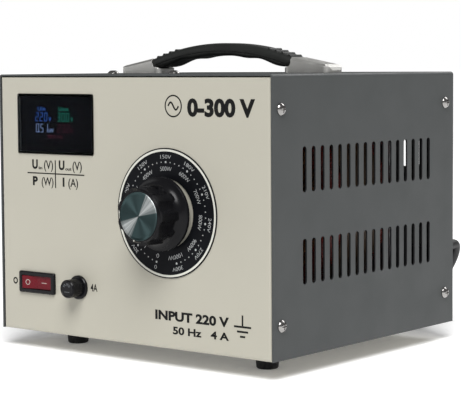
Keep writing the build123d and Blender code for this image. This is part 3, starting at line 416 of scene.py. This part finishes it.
class Shapes:
    """Points and faces gathered for one piece."""

    def __init__(self):
        self.points = []
        self.faces = []

    def add(self, points, faces):
        start = len(self.points)
        self.points.extend(points)
        self.faces.extend([[start + index for index in face] for face in faces])

    def prism(self, outline, low, high):
        """A flat outline in X and Y made solid from one Z to another."""
        count = len(outline)
        points = [(x, y, low) for x, y in outline] + [(x, y, high) for x, y in outline]
        sides = [[i, (i + 1) % count, (i + 1) % count + count, i + count] for i in range(count)]
        faces = [list(range(count - 1, -1, -1)), list(range(count, 2 * count))] + sides
        self.add(points, faces)

    def bar(self, left, bottom, right, top, low, high):
        """A straight printed bar."""
        self.prism([(left, bottom), (right, bottom), (right, top), (left, top)], low, high)

    def disc(self, x, y, radius, low, high, count=20):
        """A printed dot."""
        outline = [(x + radius * math.cos(a), y + radius * math.sin(a)) for a in turns(count)]
        self.prism(outline, low, high)

    def band(self, x, y, outer, inner, low, high, count=120, squeeze=1.0):
        """A printed ring, or an oval one."""
        points = []
        for radius, level in ((inner, low), (outer, low), (outer, high), (inner, high)):
            wide = squeeze * radius
            points += [(x + wide * math.cos(a), y + radius * math.sin(a), level) for a in turns(count)]
        faces = []
        for i in range(count):
            j = (i + 1) % count
            for k in range(4):
                a, b = k * count, (k + 1) % 4 * count
                faces.append([a + i, a + j, b + j, b + i])
        self.add(points, faces)


def turns(count):
    """Angles evenly round a circle."""
    return [2 * math.pi * index / count for index in range(count)]


def glyphs(text, bold):
    """Points and faces of a line of letters, in the font's own units, one unit thick."""
    curve = bpy.data.curves.new("letters", "FONT")
    curve.body = text
    curve.size = 1.0
    curve.offset = bold
    curve.resolution_u = 4
    curve.extrude = 0.5
    holder = bpy.data.objects.new("letters", curve)
    mesh = bpy.data.meshes.new_from_object(holder)
    points = [vertex.co.copy() for vertex in mesh.vertices]
    faces = [list(face.vertices) for face in mesh.polygons]
    bpy.data.meshes.remove(mesh)
    bpy.data.objects.remove(holder)
    bpy.data.curves.remove(curve)
    return points, faces


CAPITAL = max(point.y for point in glyphs("H", 0.0)[0])


def letters(text, capital, width=None, bold=0.0):
    """Letters with their baseline on Y = 0, middle on X = 0 and that capital height and width."""
    points, faces = glyphs(text, bold)
    left, right = min(point.x for point in points), max(point.x for point in points)
    tall = capital / CAPITAL
    wide = width / (right - left) if width else tall
    middle = (left + right) / 2
    return [Vector(((point.x - middle) * wide, point.y * tall, point.z)) for point in points], faces


def add_letters(shapes, text, x, y, capital, low, high, width=None, bold=0.0, bend=None):
    """Places letters flat, or bent round (0, 0) at the angle bend with the baseline at radius y."""
    points, faces = letters(text, capital, width, bold)
    placed = []
    for point in points:
        level = low if point.z < 0 else high
        if bend is None:
            placed.append((x + point.x, y + point.y, level))
        else:
            angle = bend - point.x / (y + capital / 2)
            radius = y + point.y
            placed.append((radius * math.cos(angle), radius * math.sin(angle), level))
    shapes.add(placed, faces)


def on_front(shapes, x, z, out):
    """The gathered shapes, drawn in millimetres, moved to the front panel: Z comes out of it."""
    return [(x + px * MM, PANEL_Y - out - pz * MM, z + py * MM) for px, py, pz in shapes.points]


# ---- Printing on the front panel ----

# Thickness of the printing, in millimetres like all that is drawn on the panel.
INK = 0.05

# Marks under the display: X from the middle and height above the underside. The half widths are of the line
# across and of the uprights, which start clear of it.
LEGEND_CROSS = {"x": -64.1, "z": 106.5, "left": -90.2, "right": -37.9, "bottom": 97.1, "top": 115.5,
                "half": 0.4, "upright": 0.45, "clear": 0.42}
LEGEND_ROWS = [
    # text, left, right, baseline, capital height, bold
    ("U", -85.6, -80.4, 109.6, 5.6, 0.045),
    ("in", -79.6, -76.2, 109.2, 1.9, 0.03),
    ("(V)", -74.6, -66.2, 109.6, 5.4, 0.014),
    ("U", -60.9, -55.7, 109.6, 5.6, 0.045),
    ("out", -55.0, -49.4, 109.2, 1.9, 0.03),
    ("(V)", -48.4, -40.0, 109.6, 5.4, 0.014),
    ("P", -85.2, -80.6, 98.6, 5.4, 0.045),
    ("(W)", -77.0, -66.0, 98.6, 5.2, 0.014),
    ("I", -57.5, -55.9, 98.6, 5.4, 0.045),
    ("(A)", -52.4, -43.6, 98.6, 5.2, 0.014),
]


def panel_print():
    """Black printing: legend of the display, range, rating, and marks of the switch and fuse."""
    shapes = Shapes()
    cross = LEGEND_CROSS
    half, upright, clear = cross["half"], cross["upright"], cross["clear"]
    shapes.bar(cross["left"], cross["z"] - half, cross["right"], cross["z"] + half, 0, INK)
    shapes.bar(cross["x"] - upright, cross["bottom"], cross["x"] + upright, cross["z"] - clear, 0, INK)
    shapes.bar(cross["x"] - upright, cross["z"] + clear, cross["x"] + upright, cross["top"], 0, INK)
    for text, left, right, baseline, capital, bold in LEGEND_ROWS:
        add_letters(shapes, text, (left + right) / 2, baseline, capital, 0, INK, right - left, bold)
    add_letters(shapes, "0-300 V", x=76.6, y=146.6, capital=9.8, low=0, high=INK, width=53.0, bold=0.046)
    add_letters(shapes, "INPUT 220 V", x=52.2, y=18.4, capital=5.4, low=0, high=INK, width=59.6, bold=0.042)
    add_letters(shapes, "50 Hz   4 A", x=59.4, y=10.0, capital=4.4, low=0, high=INK, width=45.0, bold=0.034)
    earth_symbol(shapes, x=92.5, y=20.0)
    add_letters(shapes, "4A", x=-30.4, y=31.3, capital=4.6, low=0, high=INK, width=6.0, bold=0.02)
    shapes.band(x=-103.2, y=33.0, outer=2.3, inner=1.3, low=0, high=INK, count=48, squeeze=0.95)
    wave_symbol(shapes, x=38.8, y=152.3)
    return piece("panel_print", on_front(shapes, 0, UNDERSIDE, 0), shapes.faces, "case", PRINT_BLACK)


def earth_symbol(shapes, x, y):
    """A stem over three shrinking bars."""
    stem_half, rise, clear, pitch, thick = 0.6, 6.5, 0.02, 3.0, 1.2
    shapes.bar(x - stem_half, y, x + stem_half, y + rise, 0, INK)
    for index, half in enumerate((6.6, 4.3, 2.0)):
        top = y - clear - pitch * index
        shapes.bar(x - half, top - thick, x + half, top, 0, INK)


def wave_symbol(shapes, x, y):
    """A circle round one period of a sine wave."""
    shapes.band(x, y, outer=7.0, inner=6.1, low=0, high=INK, count=72)
    half, length, swing, count = 0.55, 8.4, 2.3, 32
    top, bottom = [], []
    for index in range(count + 1):
        share = index / count
        wave_x = x - length / 2 + length * share
        wave_y = y + swing * math.sin(2 * math.pi * share)
        slope = swing * 2 * math.pi / length * math.cos(2 * math.pi * share)
        long = math.hypot(1, slope)
        top.append((wave_x - half * slope / long, wave_y + half / long))
        bottom.append((wave_x + half * slope / long, wave_y - half / long))
    outline = bottom + top[::-1]
    last = len(outline) - 1
    points = [(px, py, level) for level in (0, INK) for px, py in outline]
    size = len(outline)
    faces = []
    for i in range(count):
        faces.append([i + 1, i, last - i, last - i - 1])
        faces.append([size + i, size + i + 1, size + last - i - 1, size + last - i])
    faces += [[i, (i + 1) % size, (i + 1) % size + size, i + size] for i in range(size)]
    shapes.add(points, faces)


DIAL_ZERO = math.radians(255)
DIAL_STEP = math.radians(33)
DIVISIONS = 5
DIAL_STEPS = 10
BORDER_OUTER, BORDER_INNER = 40.05, 38.7
DOT_CIRCLE, VOLTS_CIRCLE, WATTS_CIRCLE = 32, 34.2, 26.6
DOT_LARGE, DOT_SMALL = 0.68, 0.38
DIAL_BOLD = -0.013


def dial_border():
    """White border of the dial ring."""
    shapes = Shapes()
    shapes.band(0, 0, BORDER_OUTER, BORDER_INNER, 0, INK, count=160)
    out = PANEL_Y - DIAL_LOW.y
    return piece("dial_border", on_front(shapes, DIAL_X, DIAL_Z, out), shapes.faces, "case", PRINT_WHITE)


def dial_print():
    """Printing on the dial ring: dots, volts outside and watts inside."""
    shapes = Shapes()
    for index in range(DIAL_STEPS * DIVISIONS + 1):
        angle = DIAL_ZERO - index * DIAL_STEP / DIVISIONS
        size = DOT_LARGE if index % DIVISIONS == 0 else DOT_SMALL
        shapes.disc(DOT_CIRCLE * math.cos(angle), DOT_CIRCLE * math.sin(angle), size, 0, INK)
    for index in range(DIAL_STEPS + 1):
        angle = DIAL_ZERO - index * DIAL_STEP
        volts = f"{30 * index}V" if index else "0"
        wide = 2.25 * len(volts) - 0.3
        add_letters(shapes, volts, 0, VOLTS_CIRCLE, 2.4, 0, INK, wide, DIAL_BOLD, angle)
        watts = f"{100 * index}W" if index else "0"
        wide = 2.4 * len(watts) - 0.3
        add_letters(shapes, watts, 0, WATTS_CIRCLE, 2.7, 0, INK, wide, DIAL_BOLD, angle)
    out = PANEL_Y - DIAL_LOW.y
    return piece("dial_print", on_front(shapes, DIAL_X, DIAL_Z, out), shapes.faces, "case", PRINT_GREY)


def knob_pointer():
    """White line on the rim of the knob at the dial's zero."""
    face_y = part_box("knob")[0].y
    shapes = Shapes()
    shapes.bar(left=15.3, bottom=-0.42, right=16.2, top=0.42, low=0, high=INK)
    turned = Shapes()
    cosine, sine = math.cos(DIAL_ZERO), math.sin(DIAL_ZERO)
    turned.add([(x * cosine - y * sine, x * sine + y * cosine, z) for x, y, z in shapes.points], shapes.faces)
    points = on_front(turned, DIAL_X, DIAL_Z, PANEL_Y - face_y)
    return piece("knob_pointer", points, turned.faces, "dial", PRINT_WHITE)


def fuse_cap_print():
    """The word FUSE round the face of the cap, over a short bar."""
    low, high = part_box("fuse_cap")
    dish = 0.3 * MM
    shapes = Shapes()
    add_letters(shapes, "FUSE", x=0, y=2.2, capital=1.6, low=0, high=INK, width=6.4, bold=-0.01,
                bend=math.radians(90))
    shapes.bar(left=-2.2, bottom=-2.1, right=2.2, top=-1.85, low=0, high=INK)
    points = on_front(shapes, (low.x + high.x) / 2, (low.z + high.z) / 2, PANEL_Y - low.y - dish)
    return piece("fuse_cap_print", points, shapes.faces, "fuse_cap", PRINT_FAINT)


# ---- Lit digits behind the window ----

# Lit bars of a digit: a, g and d lie across at the top, middle and bottom, and f, b, e and c stand.
DIGIT_BARS = {"0": "abcdef", "1": "bc", "2": "abged", "3": "abgcd", "5": "afgcd"}

# Colour, digits (text, left, bottom, height), then letters (text, middle, baseline, height, width)
SCREEN_TEXT = {
    "screen_blue": ((0.035, 0.15, 0.60), [("220", -83.8, 141.0, 5.7)],
                    [("Uin", -77.9, 148.1, 2.4, 7.0), ("v", -70.2, 141.0, 4.2, 2.2)]),
    "screen_green": ((0.02, 0.34, 0.22), [("300", -63.7, 141.0, 5.7)],
                     [("Uout", -57.5, 148.1, 2.4, 9.2), ("v", -50.0, 141.0, 4.2, 2.2)]),
    "screen_white": ((0.34, 0.46, 0.76), [("051", -83.4, 133.6, 5.7)],
                     [(".", -80.3, 133.6, 5.4, 0.6), ("kW", -69.2, 133.6, 2.6, 4.6)]),
    "screen_red": ((0.11, 0.012, 0.03), [("232", -63.5, 133.8, 5.2)],
                   [("A", -50.4, 133.8, 2.8, 2.6), ("50.0 Hz", -65.4, 129.8, 2.2, 14.0)]),
}
DIGIT_WIDTH = 2.7
DIGIT_PITCH = 4.1
DIGIT_STROKE = 0.42
DIGIT_SLANT = 0.09
DIGIT_GAP = 0.05
SCREEN_CLEAR = 0.02
SCREEN_GLOW = 1.2


def add_digit(shapes, digit, x, y, height, low, high):
    """One slanted seven-bar digit."""
    half = height / 2
    stroke = DIGIT_STROKE
    left, right = (0, stroke), (DIGIT_WIDTH - stroke, DIGIT_WIDTH)
    across = (stroke + DIGIT_GAP, DIGIT_WIDTH - stroke - DIGIT_GAP)
    upper, lower = (half + 2 * DIGIT_GAP, height - 2 * DIGIT_GAP), (2 * DIGIT_GAP, half - 2 * DIGIT_GAP)
    middle = (half - stroke / 2, half + stroke / 2)
    spans = {"a": (across, (height - stroke, height)), "g": (across, middle), "d": (across, (0, stroke)),
             "f": (left, upper), "e": (left, lower), "b": (right, upper), "c": (right, lower)}
    for bar in DIGIT_BARS[digit]:
        (x0, x1), (y0, y1) = spans[bar]
        corners = ((x0, y0), (x1, y0), (x1, y1), (x0, y1))
        shapes.prism([(x + px + DIGIT_SLANT * py, y + py) for px, py in corners], low, high)


def screen_digits():
    """Readings on the screen, one piece to a colour."""
    out = PANEL_Y - SCREEN_LOW.y
    low, high = SCREEN_CLEAR, INK + SCREEN_CLEAR
    for name, (colour, numbers, words) in SCREEN_TEXT.items():
        shapes = Shapes()
        for text, left, bottom, height in numbers:
            for index, digit in enumerate(text):
                add_digit(shapes, digit, left + index * DIGIT_PITCH, bottom, height, low, high)
        for text, x, baseline, capital, width in words:
            add_letters(shapes, text, x, baseline, capital, low, high, width)
        points = on_front(shapes, 0, UNDERSIDE, out)
        piece(name, points, shapes.faces, "case", glow(name, colour, SCREEN_GLOW))


# ---- Marks on the rocker ----

# The face of the rocker rises from the valley to the crest over this run. Its pivot lies behind the panel.
ROCKER_VALLEY, ROCKER_CREST, ROCKER_RUN = 0.8, 1.9, 20
PIVOT_DEPTH = 2
ROCKER_CLEAR = 0.02


def rocker_marks():
    """Off and on marks on the two faces of the rocker."""
    low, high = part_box("rocker")
    pivot = Vector(JOINTS["rocker_tip"]["pos_m"])
    climb = ROCKER_CREST - ROCKER_VALLEY
    slope = math.atan2(climb, ROCKER_RUN)
    tilt = math.radians(5)
    points, faces = [], []
    for side, place in ((-1, 8.0), (1, 6.0)):
        shapes = Shapes()
        if side < 0:
            shapes.band(0, 0, outer=1.8, inner=1.5, low=0, high=INK, count=40)
        else:
            shapes.bar(left=-2.2, bottom=-0.15, right=2.2, top=0.15, low=0, high=INK)
        lean = side * slope
        for px, py, pz in shapes.points:
            along = side * place
            out = ROCKER_VALLEY + climb * abs(along) / ROCKER_RUN + ROCKER_CLEAR
            local_x = along + px * math.cos(lean) - pz * math.sin(lean)
            local_out = out + px * math.sin(lean) + pz * math.cos(lean)
            from_pivot = local_out + PIVOT_DEPTH
            turned_x = local_x * math.cos(tilt) + from_pivot * math.sin(tilt)
            turned_out = -local_x * math.sin(tilt) + from_pivot * math.cos(tilt) - PIVOT_DEPTH
            points.append((pivot.x + turned_x * MM, PANEL_Y - turned_out * MM, pivot.z + py * MM))
        start = len(points) - len(shapes.points)
        faces += [[start + index for index in face] for face in shapes.faces]
    return piece("rocker_marks", points, faces, "rocker", PRINT_WHITE)


# ---- Winding ----

WINDING_BORE = 0.029
WINDING_CORNER = 0.009
WIRES = 220
WIRE_STEPS = 4
GROOVE_DEPTH = 0.0005


def winding_turns():
    """Single turns of wire laid side by side round the core."""
    low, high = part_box("winding")
    outer = (high.x - low.x) / 2
    inner, corner = WINDING_BORE, WINDING_CORNER
    section = []
    for cx, cy, start in ((outer - corner, low.y + corner, -90), (outer - corner, high.y - corner, 0),
                          (inner + corner, high.y - corner, 90), (inner + corner, low.y + corner, 180)):
        for index in range(7):
            angle = math.radians(start + index * 15)
            section.append((cx, cy, math.cos(angle), math.sin(angle)))
    points, faces, count = [], [], len(section)
    total = WIRES * WIRE_STEPS
    for ring in range(total):
        groove = GROOVE_DEPTH * abs(math.sin(math.pi * ring / WIRE_STEPS)) ** 0.6
        around = 2 * math.pi * ring / total
        for cx, cy, nx, ny in section:
            reach = corner - GROOVE_DEPTH + groove
            radius = cx + nx * reach
            across, up = radius * math.cos(around), radius * math.sin(around)
            points.append((DIAL_X + across, cy + ny * reach, DIAL_Z + up))
        next_ring = (ring + 1) % total
        for index in range(count):
            other = (index + 1) % count
            faces.append([ring * count + index, ring * count + other, next_ring * count + other,
                          next_ring * count + index])
    made = piece("winding_turns", points, faces, "case", FINISHES["copper_winding"], True)
    made.data.materials.append(bared_track())
    front = count - 1
    for polygon in made.data.polygons:
        if polygon.index % count == front:
            polygon.material_index = 1
    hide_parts("winding")
    return made


# ---- Mains lead ----

LEAD_DIAMETER = 0.0072
BOOT_LENGTH = 0.024
LEAD_GROUND = 0.004
COIL_X, COIL_BEHIND = -0.014, 0.066
COIL_PITCH = 0.0074
COIL_OUTER_TURN = 0.049
COIL_UPPER = 0.012
PLUG_BACK = -0.064
PLUG_HEIGHT = 0.0193


def lead_start():
    """Route from the strain relief down to the coil."""
    exit_z = UNDERSIDE + 0.045
    return [
        (0.090, REAR_Y + BOOT_LENGTH, exit_z),
        (0.0905, REAR_Y + 0.034, exit_z + 0.002),
        (0.0915, REAR_Y + 0.0450, exit_z + 0.004),
        (0.0895, REAR_Y + 0.0455, exit_z - 0.006),
        (0.085, REAR_Y + 0.0365, 0.036),
        (0.078, REAR_Y + 0.0365, 0.017),
        (0.062, REAR_Y + 0.035, 0.0055),
        (0.040, REAR_Y + 0.028, LEAD_GROUND),
        (0.014, REAR_Y + 0.0205, LEAD_GROUND),
    ]


def coil_turns():
    """Two turns inwards on the ground, one that climbs, then two outwards on top."""
    points = []
    per_turn = 16
    for index in range(5 * per_turn + 1):
        turn = index / per_turn
        angle = math.radians(-90) - 2 * math.pi * turn
        if turn <= 2:
            radius, height = COIL_OUTER_TURN - COIL_PITCH * turn, LEAD_GROUND
        elif turn <= 3:
            share = turn - 2
            radius = COIL_OUTER_TURN - 2 * COIL_PITCH - 0.003 * math.sin(math.pi * share)
            height = LEAD_GROUND + (COIL_UPPER - LEAD_GROUND) * share
        else:
            radius, height = COIL_OUTER_TURN - COIL_PITCH * (5 - turn), COIL_UPPER
        centre_y = REAR_Y + COIL_BEHIND
        points.append((COIL_X + radius * math.cos(angle), centre_y + radius * math.sin(angle), height))
    return points


def lead_end():
    """Route from the top of the coil to the plug."""
    return [
        (COIL_X - 0.018, REAR_Y + 0.0165, 0.0123),
        (PLUG_BACK + 0.014, REAR_Y + 0.020, PLUG_HEIGHT),
        (PLUG_BACK, REAR_Y + 0.020, PLUG_HEIGHT),
    ]


def mains_lead():
    """The whole lead as one smooth curve."""
    curve = bpy.data.curves.new("mains_lead_curve", "CURVE")
    curve.dimensions = "3D"
    curve.bevel_depth = LEAD_DIAMETER / 2
    curve.bevel_resolution = 4
    curve.resolution_u = 6
    curve.use_fill_caps = True
    route = lead_start() + coil_turns() + lead_end()
    spline = curve.splines.new("NURBS")
    spline.points.add(len(route) - 1)
    for point, place in zip(spline.points, route):
        point.co = (*place, 1)
    spline.order_u = 3
    spline.use_endpoint_u = True
    curve.materials.append(FINISHES["lead_rubber"])
    lead = bpy.data.objects.new("mains_lead_cord", curve)
    bpy.context.scene.collection.objects.link(lead)
    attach(lead, "case")
    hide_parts("mains_lead", "lead_coil", "lead_tail")
    return lead


panel_print()
dial_border()
dial_print()
knob_pointer()
fuse_cap_print()
screen_digits()
rocker_marks()
winding_turns()
mains_lead()


# ---- Floor, light and camera ----

def floor():
    """A plain pale floor."""
    material = Shader("pale_floor")
    tint = material.mix(material.span(material.noise(0.4), 0, 1), (0.95, 0.95, 0.95), (0.97, 0.97, 0.97))
    material.set(Base__Color=tint, Roughness=0.9, Specular__IOR__Level=0.1, Emission__Color=(1.0, 1.0, 1.0),
                 Emission__Strength=0.12)
    size = 60.0
    mesh = bpy.data.meshes.new("floor")
    corners = [(-size, -size, 0), (size, -size, 0), (size, size, 0), (-size, size, 0)]
    mesh.from_pydata(corners, [], [[0, 1, 2, 3]])
    mesh.materials.append(material.material)
    made = bpy.data.objects.new("floor", mesh)
    bpy.context.scene.collection.objects.link(made)


def lamp(name, kind, place, target, strength, **settings):
    """A soft lamp aimed at a point."""
    light = bpy.data.lights.new(name, kind)
    light.energy = strength
    for key, value in settings.items():
        setattr(light, key, value)
    made = bpy.data.objects.new(name, light)
    made.location = place
    made.rotation_mode = "QUATERNION"
    made.rotation_quaternion = (Vector(target) - Vector(place)).to_track_quat("-Z", "Y")
    bpy.context.scene.collection.objects.link(made)


AMBIENT = 0.16
BACKDROP = 1.0


def lights():
    """A white backdrop, a dim surround, a large soft key lamp, one lamp behind and one at the left."""
    world = bpy.data.worlds.new("studio")
    world.use_nodes = True
    tree = world.node_tree
    background = tree.nodes["Background"]
    ray = tree.nodes.new("ShaderNodeLightPath")
    level = tree.nodes.new("ShaderNodeMapRange")
    level.inputs["To Min"].default_value = AMBIENT
    level.inputs["To Max"].default_value = BACKDROP
    tree.links.new(ray.outputs["Is Camera Ray"], level.inputs["Value"])
    tree.links.new(level.outputs["Result"], background.inputs["Strength"])
    background.inputs["Color"].default_value = (1.0, 1.0, 1.0, 1.0)
    bpy.context.scene.world = world
    centre = (0, MIDDLE_Y, 0.1)
    lamp("key_lamp", "SUN", (0.38, -0.52, 0.765), (0, 0, 0), strength=3.6, angle=math.radians(34))
    lamp("back_lamp", "AREA", (0.2, 1.4, 1.3), centre, strength=12.0, shape="RECTANGLE", size=1.4, size_y=0.8)
    lamp("left_lamp", "AREA", (-1.5, -0.9, 0.7), centre, strength=2.0, shape="RECTANGLE", size=0.5, size_y=0.9)


# Where the camera stands: above the underside, back from the middle of the case, and a little to its right.
CAMERA_RISE, CAMERA_BACK, CAMERA_ASIDE = 0.17791, 1.13922, 0.00147
CAMERA_ANGLES = (38.798, 4.0, -0.367)


def camera():
    """Camera to the right of the front, a little above the case and tipped slightly down."""
    azimuth, pitch, roll = (math.radians(angle) for angle in CAMERA_ANGLES)
    back = Vector((math.sin(azimuth), -math.cos(azimuth), 0))
    right = Vector((math.cos(azimuth), math.sin(azimuth), 0))
    forward = Vector((-back.x * math.cos(pitch), -back.y * math.cos(pitch), -math.sin(pitch)))
    up = right.cross(forward)
    rolled_right = right * math.cos(roll) + up * math.sin(roll)
    rolled_up = up * math.cos(roll) - right * math.sin(roll)
    data = bpy.data.cameras.new("camera")
    data.sensor_width = 36
    data.lens = 130.6
    data.shift_y = -0.0572
    data.clip_start, data.clip_end = 0.05, 50
    made = bpy.data.objects.new("camera", data)
    place = Vector((0, MIDDLE_Y, UNDERSIDE + CAMERA_RISE)) + back * CAMERA_BACK + right * CAMERA_ASIDE
    columns = Matrix((rolled_right, rolled_up, -forward)).transposed().to_4x4()
    made.matrix_world = Matrix.Translation(place) @ columns
    bpy.context.scene.collection.objects.link(made)
    bpy.context.scene.camera = made


floor()
lights()
camera()
bpy.context.scene.view_settings.view_transform = "Standard"
